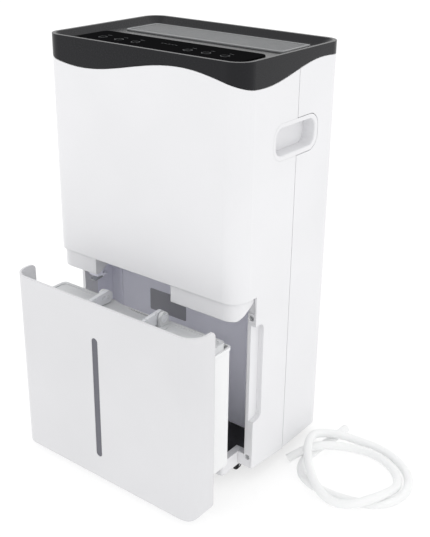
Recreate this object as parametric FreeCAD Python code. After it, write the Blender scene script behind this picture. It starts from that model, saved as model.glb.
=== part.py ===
"""Portable room dehumidifier with its water tank drawn out at the front.

Units are millimetres.  +Z is up and the floor is z = 0.  The front faces -Y and +X is the
machine's right-hand side as seen from the front.  The model is drawn about the cabinet's own
centre and moved by ORIGIN_Y on export, which puts the origin under the centre of the whole
machine with its tank out.
"""
import FreeCAD
import Part
import math
import os

V = FreeCAD.Vector

# ---- driving dimensions -----------------------------------------------------------------
WIDTH = 338.0              # cabinet, side to side
DEPTH = 231.0              # cabinet, front to back
HEIGHT = 620.0             # floor to top rim
CORNER_R = 26.0            # vertical corners of the cabinet
WALL = 3.0                 # moulded shell thickness
SEAM_Y = 9.0               # joint between the front and rear housings
SEAM_GAP = 0.8
TANK_PULL = 88.0           # how far the tank stands out
GLAND_PROUD = 2.0          # the lead gland is the rearmost thing
ORIGIN_Y = (TANK_PULL - GLAND_PROUD) / 2   # cabinet centre in the exported frame

HALF_W = WIDTH / 2
HALF_D = DEPTH / 2

# lower opening of the front housing
STEP_Z = 304.0             # bottom edge of the upper shell
SKIRT_Z = 277.0            # bottom of the two bosses that hang behind the tank panel
SKIRT_INSET = 4.0          # bosses stand this far behind the front skin
SKIRT_HALF_W = 164.5
SKIRT_R = 21.0
NOTCH = (-91.0, 52.0)      # gap between the bosses, where the hand reaches in
SIDE_FRONT_Y = -72.0       # front edge of the side walls
SIDE_IN_X = 155.5          # inner face of the side walls
FRAME_REAR_Y = -46.0       # the thick front frame of a side wall ends here
SIDE_BOTTOM_FRONT_Z = 29.0
SIDE_BOTTOM_SEAM_Z = 20.0
REAR_BOTTOM_Z = 22.0
SCOOP = (-53.0, 107.0, 259.0)   # rear edge y, bottom z and top z of the finger scoop
SCOOP_FLOOR_X = 161.0
STRIP_SCREW_Z = (46.0, 270.0)
STRIP_SCREW_X = 162.0

# wavy joint between the housings and the top cover
WAVE_MID = 593.0
WAVE_AMP = 11.5
WAVE_GAP = 0.8

# top deck
DECK_Z = 611.0
RIM = 5.0
GRILLE = (-138.0, 14.0, 138.0, 84.0)      # x0, y0, x1, y1 of the air outlet
PANEL_PLATE = (-140.0, -98.0, 140.0, -22.0)

# handle pockets in the side walls
POCKET = (-46.0, 482.0, 59.0, 532.0)      # y0, z0, y1, z1 of the flush ring round the grip
POCKET_RING = 6.5                         # width of that ring
POCKET_DEPTH = 22.0

# tank, given in the closed position
TANK_FRONT_Y = -HALF_D
TANK_BACK_Y = -18.0
TANK_HALF_W = 153.0
TANK_BOTTOM_Z = 51.0
TANK_TOP_Z = 240.0
TANK_WALL = 2.2
PANEL_TOP_Z = 291.0
PANEL_BOTTOM_Z = 10.0
PANEL_R = 26.0
WING = 42.0
WINDOW_X = -6.5
WINDOW_HALF_W = 5.5
WINDOW_Z = (46.0, 238.0)
LID_TOP_Z = 251.0
LID_BACK_Y = -29.5                        # condensate drips in behind the lid
LID_DIP = 47.0                            # half width of the dip in the middle of the lid
HANDLE_X = 50.0
HANDLE_PIVOT = (-45.0, 262.0)             # y, z of the handle pivots with the tank closed
HANDLE_REACH = 60.0

# base and casters
BASE_Z = 24.0
LEDGE_Z = 44.0
SILL = (144.5, -109.5, -60.5)             # outer x, front y and rear y of the white frame round the ledge
SILL_W = 10.5
SILL_Z = (26.0, 49.0)
BACK_WALL_Y = -12.0
CASTER_X = 127.0
CASTER_Y = (-57.0, 88.0)
WHEEL_R = 9.0
WHEEL_W = 9.0
TRAIL = 5.0
RUN_GAP = 0.05                            # radial clearance of a running fit

# air intake and filter
INTAKE = (-122.0, 332.0, 122.0, 572.0)    # x0, z0, x1, z1

# fan
FAN_X = 0.0
FAN_Z = 455.0
FAN_R = 82.0
FAN_Y = (-78.0, -30.0)
SHAFT_R = 4.0

# refrigeration
COIL_X = 118.0
COIL_Z = (338.0, 568.0)
EVAPORATOR_Y = (62.0, 88.0)
CONDENSER_Y = (28.0, 54.0)
COMPRESSOR_AT = (62.0, 56.0)
COMPRESSOR_R = 47.0

# drain
SPOUT_AT = (-110.0, 262.0)                # x, z on the rear face
SPOUT_R = 5.0
SPOUT_BORE = 3.4

# drain hose lying on the floor
HOSE_R = 6.5


# ---- helpers ----------------------------------------------------------------------------
def box(x0, y0, z0, x1, y1, z1):
    """A block between two corners."""
    return Part.makeBox(x1 - x0, y1 - y0, z1 - z0, V(x0, y0, z0))


def rounded_face(x0, y0, x1, y1, r, z):
    """A flat rounded rectangle at height z."""
    c = r * (1 - math.sqrt(0.5))
    edges = [
        Part.LineSegment(V(x0 + r, y0, z), V(x1 - r, y0, z)),
        Part.Arc(V(x1 - r, y0, z), V(x1 - c, y0 + c, z), V(x1, y0 + r, z)),
        Part.LineSegment(V(x1, y0 + r, z), V(x1, y1 - r, z)),
        Part.Arc(V(x1, y1 - r, z), V(x1 - c, y1 - c, z), V(x1 - r, y1, z)),
        Part.LineSegment(V(x1 - r, y1, z), V(x0 + r, y1, z)),
        Part.Arc(V(x0 + r, y1, z), V(x0 + c, y1 - c, z), V(x0, y1 - r, z)),
        Part.LineSegment(V(x0, y1 - r, z), V(x0, y0 + r, z)),
        Part.Arc(V(x0, y0 + r, z), V(x0 + c, y0 + c, z), V(x0 + r, y0, z)),
    ]
    return Part.Face(Part.Wire([e.toShape() for e in edges]))


def rbox(x0, y0, z0, x1, y1, z1, r):
    """A block with its four vertical edges rounded."""
    return rounded_face(x0, y0, x1, y1, r, z0).extrude(V(0, 0, z1 - z0))


def slot_x(x0, x1, y0, z0, y1, z1, r):
    """A rounded opening seen from the side, running along X."""
    shape = rbox(-z1, y0, x0, -z0, y1, x1, r)
    shape.rotate(V(0, 0, 0), V(0, 1, 0), 90)
    return shape


def slot_y(y0, y1, x0, z0, x1, z1, r):
    """A rounded opening seen from the front, running along Y."""
    shape = rbox(x0, -z1, y0, x1, -z0, y1, r)
    shape.rotate(V(0, 0, 0), V(1, 0, 0), -90)
    return shape


def rod(p0, p1, r):
    """A round bar between two points."""
    axis = p1 - p0
    return Part.makeCylinder(r, axis.Length, p0, axis)


def fused(shapes):
    """One shape from several that touch."""
    return shapes[0].multiFuse(shapes[1:]).removeSplitter()


def group(shapes):
    """Several separate solids kept in one node."""
    return Part.makeCompound(shapes)


def mirror_x(shape):
    """The same piece on the other side of the machine."""
    return shape.mirror(V(0, 0, 0), V(1, 0, 0))


def round_path(points, share=0.45):
    """Straight runs joined by tangent arcs; returns the wire and the arc radii."""
    edges = []
    radii = []
    start = points[0]
    for before, corner, after in zip(points, points[1:], points[2:]):
        way_in = (before - corner).normalize()
        way_out = (after - corner).normalize()
        turn = math.pi - way_in.getAngle(way_out)
        reach = share * min((before - corner).Length, (after - corner).Length)
        radius = reach / math.tan(turn / 2)
        middle = (way_in + way_out).normalize()
        centre = corner + middle * (radius / math.cos(turn / 2))
        p_in = corner + way_in * reach
        p_out = corner + way_out * reach
        edges.append(Part.LineSegment(start, p_in).toShape())
        edges.append(Part.Arc(p_in, centre - middle * radius, p_out).toShape())
        radii.append(radius)
        start = p_out
    edges.append(Part.LineSegment(start, points[-1]).toShape())
    return Part.Wire(edges), radii


def pipe(points, r, bore=0.0):
    """A round pipe along a rounded path, hollow if a bore is given."""
    path, radii = round_path(points)
    normal = points[1] - points[0]
    profile = Part.Wire([Part.makeCircle(r, points[0], normal)])
    solid = path.makePipeShell([profile], True, False)
    if bore:
        inner = Part.Wire([Part.makeCircle(bore, points[0], normal)])
        solid = solid.cut(path.makePipeShell([inner], True, False))
    return solid, path, radii


# ---- housings ---------------------------------------------------------------------------
def wave_keys():
    """Crests and troughs of the wavy joint: distance round the cabinet and height."""
    front = WIDTH
    side = DEPTH
    low = WAVE_MID - WAVE_AMP
    high = WAVE_MID + WAVE_AMP
    return [
        (68.0, low),
        (241.0, high),
        (front + 44.0, low + 3),
        (front + 181.0, high),
        (front + side + 110.0, low + 2),
        (front + side + 230.0, high - 2),
        (2 * front + side + 40.0, low + 6),
        (2 * front + side + 150.0, high),
    ]


def wave_height(s):
    """Height of the joint at distance s round the cabinet from its front left corner."""
    total = 2 * (WIDTH + DEPTH)
    keys = wave_keys()
    keys = [(keys[-1][0] - total, keys[-1][1])] + keys + [(keys[0][0] + total, keys[0][1])]
    for (s0, z0), (s1, z1) in zip(keys, keys[1:]):
        if s0 <= s <= s1:
            t = (s - s0) / (s1 - s0)
            return z0 + (z1 - z0) * (1 - math.cos(math.pi * t)) / 2
    return WAVE_MID


def perimeter_point(s, offset):
    """Plan position at distance s round the cabinet, moved outwards by offset."""
    hw = HALF_W + offset
    hd = HALF_D + offset
    if s <= WIDTH:
        return (-hw + 2 * hw * s / WIDTH, -hd)
    s -= WIDTH
    if s <= DEPTH:
        return (hw, -hd + 2 * hd * s / DEPTH)
    s -= DEPTH
    if s <= WIDTH:
        return (hw - 2 * hw * s / WIDTH, hd)
    s -= WIDTH
    return (-hw, hd - 2 * hd * s / DEPTH)


def wave_tool(shift):
    """Everything below the wavy joint, as one solid with a ruled, wavy top."""
    count = 72
    total = 2 * (WIDTH + DEPTH)
    loops = []
    for offset in (8.0, -32.0):
        points = []
        for i in range(count):
            s = total * i / count
            x, y = perimeter_point(s, offset)
            points.append(V(x, y, wave_height(s) + shift))
        spline = Part.BSplineCurve()
        spline.interpolate(points, PeriodicFlag=True)
        loops.append(spline.toShape())
    top = Part.makeRuledSurface(loops[0], loops[1])
    return top.extrude(V(0, 0, -80))


def shell_ring(z0, z1):
    """The cabinet's rounded wall between two heights."""
    outer = rbox(-HALF_W, -HALF_D, z0, HALF_W, HALF_D, z1, CORNER_R)
    inner = rbox(-HALF_W + WALL, -HALF_D + WALL, z0, HALF_W - WALL, HALF_D - WALL, z1, CORNER_R - WALL)
    return outer.cut(inner)


def upper_wall():
    """The wall of both housings above the tank opening, ending at the wavy joint."""
    lower = shell_ring(STEP_Z, 560.0)
    upper = shell_ring(560.0, HEIGHT).common(wave_tool(-WAVE_GAP / 2))
    return fused([lower, upper])


def pocket_outline(x0, x1, grow):
    """Outline of the grip's flush ring, grown on all sides."""
    y0, z0, y1, z1 = POCKET
    return slot_x(x0, x1, y0 - grow, z0 - grow, y1 + grow, z1 + grow, 20.0 + grow)


def side_bottom_cutter():
    """Removes what hangs below the sloping bottom edge of a front side wall."""
    profile = Part.makePolygon([
        V(0, SIDE_FRONT_Y - 5, 0),
        V(0, SEAM_Y + 5, 0),
        V(0, SEAM_Y + 5, SIDE_BOTTOM_SEAM_Z),
        V(0, SEAM_Y, SIDE_BOTTOM_SEAM_Z),
        V(0, SIDE_FRONT_Y, SIDE_BOTTOM_FRONT_Z),
        V(0, SIDE_FRONT_Y - 5, SIDE_BOTTOM_FRONT_Z),
        V(0, SIDE_FRONT_Y - 5, 0),
    ])
    return Part.Face(profile).extrude(V(HALF_W + 10, 0, 0))


def side_wall():
    """Right-hand skin of the front housing beside the tank."""
    edge_y, z0, z1 = SCOOP
    wall = box(HALF_W - WALL, SIDE_FRONT_Y, 10, HALF_W, SEAM_Y - SEAM_GAP, STEP_Z)
    wall = wall.cut(side_bottom_cutter())
    return wall.cut(slot_x(HALF_W - WALL - 1, HALF_W + 1, SIDE_FRONT_Y - 30, z0, edge_y, z1, 9.0))


def side_frame():
    """Thick frame screwed behind the front edge of the right-hand skin, with the finger scoop."""
    x1 = HALF_W - WALL
    frame = box(SIDE_IN_X, SIDE_FRONT_Y, 10, x1, FRAME_REAR_Y, SKIRT_Z)
    upper = box(SIDE_IN_X, SIDE_FRONT_Y + 2, SKIRT_Z - 1, x1, FRAME_REAR_Y, STEP_Z)
    foot = box(SILL[0] + 0.3, SIDE_FRONT_Y, 10, SIDE_IN_X, SILL[2], SILL_Z[1])
    wall = fused([frame, upper, foot]).cut(side_bottom_cutter())
    edge_y, z0, z1 = SCOOP
    wall = wall.cut(slot_x(SCOOP_FLOOR_X, HALF_W + 1, SIDE_FRONT_Y - 30, z0, edge_y, z1, 9.0))
    for z in STRIP_SCREW_Z:
        y = SIDE_FRONT_Y if z < SKIRT_Z else SIDE_FRONT_Y + 2
        wall = wall.cut(rod(V(STRIP_SCREW_X - 1, y - 1, z), V(STRIP_SCREW_X - 1, y + 5, z), 4.2))
        wall = wall.cut(rod(V(STRIP_SCREW_X - 1, y, z), V(STRIP_SCREW_X - 1, y + 16, z), 1.7))
    return wall


def boss_space(x0, x1, inset):
    """Outline of a boss, or of the hollow inside it; its underside rises towards the back."""
    hw = SKIRT_HALF_W - inset
    y0 = -HALF_D + SKIRT_INSET + inset
    y1 = SIDE_FRONT_Y + 2 - inset
    block = rbox(-hw, y0, SKIRT_Z + inset, hw, 40, STEP_Z + WALL, SKIRT_R - inset)
    block = block.common(box(x0 + inset, y0 - 1, SKIRT_Z, x1 - inset, y1, STEP_Z + WALL))
    profile = Part.makePolygon([
        V(-200, -104, SKIRT_Z + inset),
        V(-200, SIDE_FRONT_Y + 5, STEP_Z - 6 + inset),
        V(-200, SIDE_FRONT_Y + 5, SKIRT_Z - 5),
        V(-200, -104, SKIRT_Z - 5),
        V(-200, -104, SKIRT_Z + inset),
    ])
    return block.cut(Part.Face(profile).extrude(V(400, 0, 0)))


def front_housing():
    """Front shell: upper box with bosses and floor, and the two side walls below it."""
    wall = upper_wall().common(box(-200, -200, 0, 200, SEAM_Y - SEAM_GAP, HEIGHT))
    opening = pocket_outline(HALF_W - WALL - 1, HALF_W + 1, 0.0)
    wall = wall.cut(opening).cut(mirror_x(opening))
    floor = rbox(-HALF_W, -HALF_D, STEP_Z, HALF_W, HALF_D, STEP_Z + WALL, CORNER_R)
    floor = floor.common(box(-200, -200, 0, 200, SIDE_FRONT_Y + 2, HEIGHT))
    side = side_wall()
    pieces = [wall, floor, side, mirror_x(side)]
    spans = [(-SKIRT_HALF_W, NOTCH[0]), (NOTCH[1], SKIRT_HALF_W)]
    for x0, x1 in spans:
        pieces.append(boss_space(x0, x1, 0.0))
    shape = fused(pieces)
    for x0, x1 in spans:
        shape = shape.cut(boss_space(x0, x1, WALL))
    return shape


def seam_tongue():
    """Tongue of the rear housing that backs the right-hand seam."""
    x0 = HALF_W - WALL - 2.2
    strip = box(x0, SEAM_Y - 6, 46, HALF_W - WALL, SEAM_Y + 8, 560)
    return strip.cut(box(x0 - 1, SEAM_Y - 10, POCKET[1] - 6, HALF_W, SEAM_Y + 10, POCKET[3] + 6))


def rear_housing():
    """Rear shell with the intake opening, the drain recess and the inlet for the lead."""
    upper = upper_wall().common(box(-200, SEAM_Y, 0, 200, 200, HEIGHT))
    lower = shell_ring(REAR_BOTTOM_Z, STEP_Z).common(box(-200, SEAM_Y, 0, 200, 200, HEIGHT))
    x0, z0, x1, z1 = INTAKE
    seat = slot_y(HALF_D - 11, HALF_D - WALL, x0 - 6, z0 - 6, x1 + 6, z1 + 6, 16.0)
    seat = seat.cut(slot_y(HALF_D - 12, HALF_D - 8, x0 + 7, z0 + 7, x1 - 7, z1 - 7, 4.0))
    shape = fused([upper, lower, seat, seam_tongue(), mirror_x(seam_tongue())])
    opening = pocket_outline(HALF_W - WALL - 1, HALF_W + 1, SEAM_GAP)
    shape = shape.cut(opening).cut(mirror_x(opening))
    shape = shape.cut(slot_y(HALF_D - 8, HALF_D + 5, x0, z0, x1, z1, 10.0))
    spout_x, spout_z = SPOUT_AT
    shape = shape.cut(rod(V(spout_x, HALF_D - 5, spout_z), V(spout_x, HALF_D + 5, spout_z), 17.0))
    shape = shape.cut(rod(V(110, HALF_D - 5, 70), V(110, HALF_D + 5, 70), 9.0))
    return shape


def top_cover():
    """Dark cover with a wavy lower edge, a dished deck and the outlet opening."""
    wall = shell_ring(560.0, HEIGHT).cut(wave_tool(WAVE_GAP / 2))
    wall = [s for s in wall.Solids if s.BoundBox.ZMax > HEIGHT - 1][0]
    top = rbox(-HALF_W + WALL, -HALF_D + WALL, DECK_Z - 4, HALF_W - WALL, HALF_D - WALL, HEIGHT, CORNER_R - WALL)
    low = rounded_face(-HALF_W + 17, -HALF_D + 9, HALF_W - 17, HALF_D - 16, 12.0, DECK_Z)
    high = rounded_face(-HALF_W + RIM, -HALF_D + RIM, HALF_W - RIM, HALF_D - RIM, CORNER_R - RIM, HEIGHT)
    dish = Part.makeLoft([low.OuterWire, high.OuterWire], True, True)
    top = top.cut(dish)
    x0, y0, x1, y1 = GRILLE
    top = top.cut(rbox(x0 + 4, y0 + 4, DECK_Z - 6, x1 - 4, y1 - 4, DECK_Z + 1, 4.0))
    hw = HALF_W - WALL
    hd = HALF_D - WALL
    lip = rbox(-hw, -hd, 566, hw, hd, DECK_Z - 3, CORNER_R - WALL)
    lip = lip.cut(rbox(-hw + 2, -hd + 2, 565, hw - 2, hd - 2, DECK_Z, CORNER_R - WALL - 2))
    lip = lip.cut(box(INTAKE[0] - 8, HALF_D - 14, 560, INTAKE[2] + 8, HALF_D, INTAKE[3] + 7))
    return fused([wall, top, lip])


def control_panel():
    """Glossy touch panel across the front of the deck."""
    x0, y0, x1, y1 = PANEL_PLATE
    plate = rbox(x0, y0, DECK_Z, x1, y1, DECK_Z + 4.0, 9.0)
    rim = [e for e in plate.Edges if abs(e.BoundBox.ZMin - (DECK_Z + 4.0)) < 0.01]
    return plate.makeChamfer(0.8, rim)


def outlet_grille():
    """Air outlet in the deck: a frame with fine fixed slats."""
    x0, y0, x1, y1 = GRILLE
    outer = rbox(x0, y0, DECK_Z, x1, y1, DECK_Z + 2.0, 6.0)
    inner = rbox(x0 + 5, y0 + 5, DECK_Z - 1, x1 - 5, y1 - 5, DECK_Z + 3.0, 3.0)
    parts = [outer.cut(inner)]
    count = 13
    pitch = (y1 - y0 - 10) / count
    for i in range(count):
        y = y0 + 5 + pitch * (i + 0.5)
        parts.append(box(x0 + 4.5, y - 1.1, DECK_Z - 3.5, x1 - 4.5, y + 1.1, DECK_Z + 1.4))
    for x in (-80.0, -27.0, 27.0, 80.0):
        parts.append(box(x - 1, y0 + 4.5, DECK_Z - 3.5, x + 1, y1 - 4.5, DECK_Z + 0.6))
    return fused(parts)


def handle_pocket():
    """Cup of the right-hand grip with the ring that lies flush with the skin."""
    x0 = HALF_W - POCKET_DEPTH
    y0, z0, y1, z1 = POCKET
    ring = POCKET_RING
    outer = pocket_outline(x0, HALF_W, 0.0)
    inner = slot_x(x0 + 2.5, HALF_W + 1, y0 + ring, z0 + ring, y1 - ring, z1 - ring, 20.0 - ring)
    cup = outer.cut(inner)
    lip = [e for e in cup.Edges if e.BoundBox.XMin > HALF_W - 0.01 and e.BoundBox.YMin > y0 + 1]
    lip = [e for e in lip if e.BoundBox.ZMin > z0 + 1 and e.BoundBox.ZMax < z1 - 1 and e.BoundBox.YMax < y1 - 1]
    return cup.makeFillet(2.0, lip)


# ---- tank bay and base ------------------------------------------------------------------
def tank_bay():
    """Liner behind the tank: back wall, sides, ceiling and a vertical rib."""
    x = SIDE_IN_X
    back = box(-x - 2.5, BACK_WALL_Y, LEDGE_Z, x + 2.5, BACK_WALL_Y + 3, STEP_Z)
    ceiling = box(-x - 2.5, SIDE_FRONT_Y + 2, STEP_Z - 3, x + 2.5, BACK_WALL_Y + 1, STEP_Z)
    ceiling = ceiling.cut(box(x - 0.5, SIDE_FRONT_Y, 200, x + 20, FRAME_REAR_Y, 400))
    ceiling = ceiling.cut(box(-x - 20, SIDE_FRONT_Y, 200, -x + 0.5, FRAME_REAR_Y, 400))
    ceiling = ceiling.cut(box(-8, -40, 290, 30, -18, 310))
    side = box(x, FRAME_REAR_Y, LEDGE_Z, x + 2.5, BACK_WALL_Y + 1, STEP_Z)
    rib = box(-139, BACK_WALL_Y - 1.5, LEDGE_Z, -133, BACK_WALL_Y + 1, STEP_Z - 2)
    return fused([back, ceiling, side, mirror_x(side), rib])


def ledge(inset, z0, z1):
    """Raised part of the base that carries the tank, or the hollow under it."""
    hw = SILL[0] - SILL_W - 0.2 - inset
    return box(-hw, SILL[1] + SILL_W + 0.2 + inset, z0, hw, BACK_WALL_Y + 3 - inset, z1)


def base_pan():
    """Black floor pan with a raised ledge under the tank and four caster bosses."""
    plate = rbox(-165.8, -110, BASE_Z, 165.8, 112.3, BASE_Z + 3, 23.0)
    plate = plate.common(box(-200, BACK_WALL_Y - 6, 0, 200, 200, 100))
    wings = box(-155.2, FRAME_REAR_Y + 0.5, BASE_Z, 155.2, BACK_WALL_Y, BASE_Z + 3)
    front = box(-155.2, SILL[2] + 0.3, LEDGE_Z - 3, 155.2, FRAME_REAR_Y + 1, LEDGE_Z)
    shelf = box(-158, FRAME_REAR_Y + 0.5, LEDGE_Z - 3, 158, BACK_WALL_Y + 3, LEDGE_Z)
    hollow = ledge(3.0, BASE_Z - 1, LEDGE_Z - 3)
    solid = [plate, wings, front, shelf, ledge(0.0, BASE_Z, LEDGE_Z)]
    shape = fused(solid).cut(hollow)
    bosses = []
    for x in (-CASTER_X, CASTER_X):
        for y in CASTER_Y:
            bosses.append(rod(V(x, y, BASE_Z), V(x, y, LEDGE_Z - 1), 8.0))
    shape = fused([shape] + bosses)
    for x in (-CASTER_X, CASTER_X):
        for y in CASTER_Y:
            shape = shape.cut(rod(V(x, y, 0), V(x, y, 37.0), 3.0 + RUN_GAP))
    return shape


def base_sill():
    """White frame round the front and the sides of the ledge."""
    x1, y0, y1 = SILL
    x0 = x1 - SILL_W
    frame = rbox(-x1, y0, SILL_Z[0], x1, y1 + 30, SILL_Z[1], 6.0)
    frame = frame.common(box(-x1, y0, 0, x1, y1, 100))
    frame = frame.cut(box(-x0, y0 + SILL_W, 0, x0, y1 + 1, 100))
    for x in (-CASTER_X, CASTER_X):
        frame = frame.cut(rod(V(x, CASTER_Y[0], 0), V(x, CASTER_Y[0], 100), 8.3))
    return frame


def rating_plate():
    """Blank plate on the back wall of the bay."""
    return slot_y(BACK_WALL_Y - 0.5, BACK_WALL_Y, -74, 189, -2, 225, 2.5)


def strip_screws():
    """The four screws in the front edges of the side walls."""
    screws = []
    for x in (1 - STRIP_SCREW_X, STRIP_SCREW_X - 1):
        for z in STRIP_SCREW_Z:
            y = SIDE_FRONT_Y + 2.4
            head = rod(V(x, y, z), V(x, y + 2.6, z), 3.9)
            head = head.cut(box(x - 2.6, y - 1, z - 0.5, x + 2.6, y + 1.2, z + 0.5))
            head = head.cut(box(x - 0.5, y - 1, z - 2.6, x + 0.5, y + 1.2, z + 2.6))
            shank = rod(V(x, y + 1.6, z), V(x, y + 12.6, z), 1.6)
            screws.append(fused([head, shank]))
    return group(screws)


def micro_switch():
    """Tank-present switch under the left boss."""
    body = box(-115, -102, 268, -97, -92, 290)
    body = body.cut(boss_space(-SKIRT_HALF_W, NOTCH[0], 0.0))
    ears = box(-118, -93, 267, -115, -86, 271)
    ears_2 = box(-97, -93, 267, -94, -86, 271)
    pin = rod(V(-117, -88, 269), V(-95, -88, 269), 1.2)
    return fused([body, ears, ears_2, pin])


def switch_lever():
    """Sprung lever of the switch."""
    eye = rod(V(-114.5, -88, 269), V(-97.5, -88, 269), 2.4)
    arm = box(-112, -106, 263.2, -100, -87, 264.6)
    arm.rotate(V(-106, -88, 269), V(1, 0, 0), 6)
    web = box(-112, -89.2, 263.6, -100, -86.8, 268)
    lever = fused([eye, arm, web])
    return lever.cut(rod(V(-120, -88, 269), V(-90, -88, 269), 1.2 + RUN_GAP))


# ---- casters ----------------------------------------------------------------------------
def caster_fork(x, y):
    """Swivel fork with its stem."""
    axle_y = y + TRAIL
    crown = rod(V(x, y, 19.6), V(x, y, 23.2), 7.0)
    bridge = box(x - 7.5, y - 4, 19.6, x + 7.5, axle_y + 4, 21.8)
    stem = rod(V(x, y, 22), V(x, y, 36), 3.0)
    cheeks = []
    for side in (-1, 1):
        x0 = x + side * 6.3 - 1.2
        leg = box(x0, axle_y - 4, WHEEL_R, x0 + 2.4, axle_y + 4, 20.5)
        eye = rod(V(x0, axle_y, WHEEL_R), V(x0 + 2.4, axle_y, WHEEL_R), 4.0)
        cheeks.append(leg)
        cheeks.append(eye)
    fork = fused([crown, bridge, stem] + cheeks)
    return fork.cut(rod(V(x - 10, axle_y, WHEEL_R), V(x + 10, axle_y, WHEEL_R), 1.5))


def caster_wheel(x, y):
    """Wheel with a shallow dish in each face."""
    axle_y = y + TRAIL
    half = WHEEL_W / 2
    wheel = rod(V(x - half, axle_y, WHEEL_R), V(x + half, axle_y, WHEEL_R), WHEEL_R)
    wheel = wheel.makeFillet(1.2, [e for e in wheel.Edges if e.Closed and abs(e.Length - 2 * math.pi * WHEEL_R) < 0.1])
    for side in (-1, 1):
        ring = rod(V(x + side * half, axle_y, WHEEL_R), V(x + side * (half - 1.2), axle_y, WHEEL_R), 6.6)
        hub = rod(V(x + side * half, axle_y, WHEEL_R), V(x + side * (half - 1.2), axle_y, WHEEL_R), 3.2)
        wheel = wheel.cut(ring.cut(hub))
    return wheel.cut(rod(V(x - 10, axle_y, WHEEL_R), V(x + 10, axle_y, WHEEL_R), 1.5 + RUN_GAP))


def caster_axle(x, y):
    """Pin through fork and wheel."""
    axle_y = y + TRAIL
    return rod(V(x - 7.5, axle_y, WHEEL_R), V(x + 7.5, axle_y, WHEEL_R), 1.5)


# ---- tank -------------------------------------------------------------------------------
def panel_block(inset, z0, z1, y1):
    """Outline of the tank's front panel, or of the space inside it."""
    hw = HALF_W - inset
    block = rbox(-hw, TANK_FRONT_Y + inset, z0, hw, 80, z1, PANEL_R - inset)
    block = block.common(slot_y(-200, y1, -hw, PANEL_BOTTOM_Z + inset, hw, 400, 14.0 - inset))
    return block


def tank_front_panel():
    """White front of the tank, wrapped round to the side walls."""
    rear = TANK_FRONT_Y + WING
    outer = panel_block(0.0, PANEL_BOTTOM_Z, PANEL_TOP_Z, rear)
    inner = panel_block(WALL, PANEL_BOTTOM_Z, PANEL_TOP_Z + 5, rear + 1)
    panel = outer.cut(inner)
    panel = panel.common(slot_x(-200, 200, -200, -60, rear, PANEL_TOP_Z, 9.0))
    x0 = WINDOW_X - WINDOW_HALF_W
    x1 = WINDOW_X + WINDOW_HALF_W
    window = slot_y(-130, -90, x0, WINDOW_Z[0], x1, WINDOW_Z[1], WINDOW_HALF_W - 0.01)
    return panel.cut(window)


def level_window():
    """Clear strip through which the water level shows."""
    x0 = WINDOW_X - WINDOW_HALF_W + 0.05
    x1 = WINDOW_X + WINDOW_HALF_W - 0.05
    y0 = TANK_FRONT_Y
    strip = slot_y(y0 + 0.5, y0 + WALL + 1, x0, WINDOW_Z[0] + 0.05, x1, WINDOW_Z[1] - 0.05, WINDOW_HALF_W - 0.06)
    flange = slot_y(y0 + WALL, y0 + WALL + 1.2, x0 - 4, WINDOW_Z[0] - 4, x1 + 4, WINDOW_Z[1] + 4, 9.0)
    return fused([strip, flange])


def tank_body():
    """Open water tank with a rim flange and pads that carry the front panel."""
    y0 = TANK_FRONT_Y + WALL + 1.5
    hw = TANK_HALF_W
    t = TANK_WALL
    outer = rbox(-hw, y0, TANK_BOTTOM_Z, hw, TANK_BACK_Y, TANK_TOP_Z, 5.0)
    rim = rbox(-hw - 1.4, y0, TANK_TOP_Z - 5, hw + 1.4, TANK_BACK_Y, TANK_TOP_Z, 5.0)
    inner = rbox(-hw + t, y0 + t, TANK_BOTTOM_Z + t, hw - t, TANK_BACK_Y - t, TANK_TOP_Z + 1, 5.0 - t)
    pads = []
    for x in (-95.0, 95.0):
        for z in (72.0, 210.0):
            pads.append(box(x - 8, y0 - 1.5, z - 8, x + 8, y0 + 0.5, z + 8))
    body = fused([outer, rim] + pads).cut(inner)
    lug = box(-hw + t - 0.5, -66, 66, -hw + t + 8, -52, 80)
    pin = rod(V(-hw + t, -59, 73), V(-hw + t + 20, -59, 73), 2.0)
    return fused([body, lug, pin])


def lid_section(drop, inset):
    """Section of the lid across the machine: flat shoulders and a dip in the middle."""
    hw = TANK_HALF_W - 0.5 - inset
    top = LID_TOP_Z - drop
    low = TANK_TOP_Z - (1.0 if inset else 0.0)
    dip = LID_DIP - inset / 2
    bottom = TANK_TOP_Z + 4.2 - drop
    edges = [
        Part.LineSegment(V(-hw, 0, low), V(hw, 0, low)),
        Part.LineSegment(V(hw, 0, low), V(hw, 0, top)),
        Part.LineSegment(V(hw, 0, top), V(dip, 0, top)),
        Part.Arc(V(dip, 0, top), V(0, 0, bottom), V(-dip, 0, top)),
        Part.LineSegment(V(-dip, 0, top), V(-hw, 0, top)),
        Part.LineSegment(V(-hw, 0, top), V(-hw, 0, low)),
    ]
    return Part.Face(Part.Wire([e.toShape() for e in edges]))


def lid_lugs(side):
    """Lug and pin for one end of the handle, with a rib behind it."""
    py, pz = HANDLE_PIVOT
    x0 = side * (HANDLE_X + 6.5) - 2.5
    foot = box(x0, py - 9, LID_TOP_Z - 1, x0 + 5, py + 9, pz)
    eye = rod(V(x0, py, pz), V(x0 + 5, py, pz), 9.0)
    pin = rod(V(side * (HANDLE_X - 3), py, pz), V(side * (HANDLE_X + 6), py, pz), 3.0)
    return [foot, eye, pin]


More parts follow.
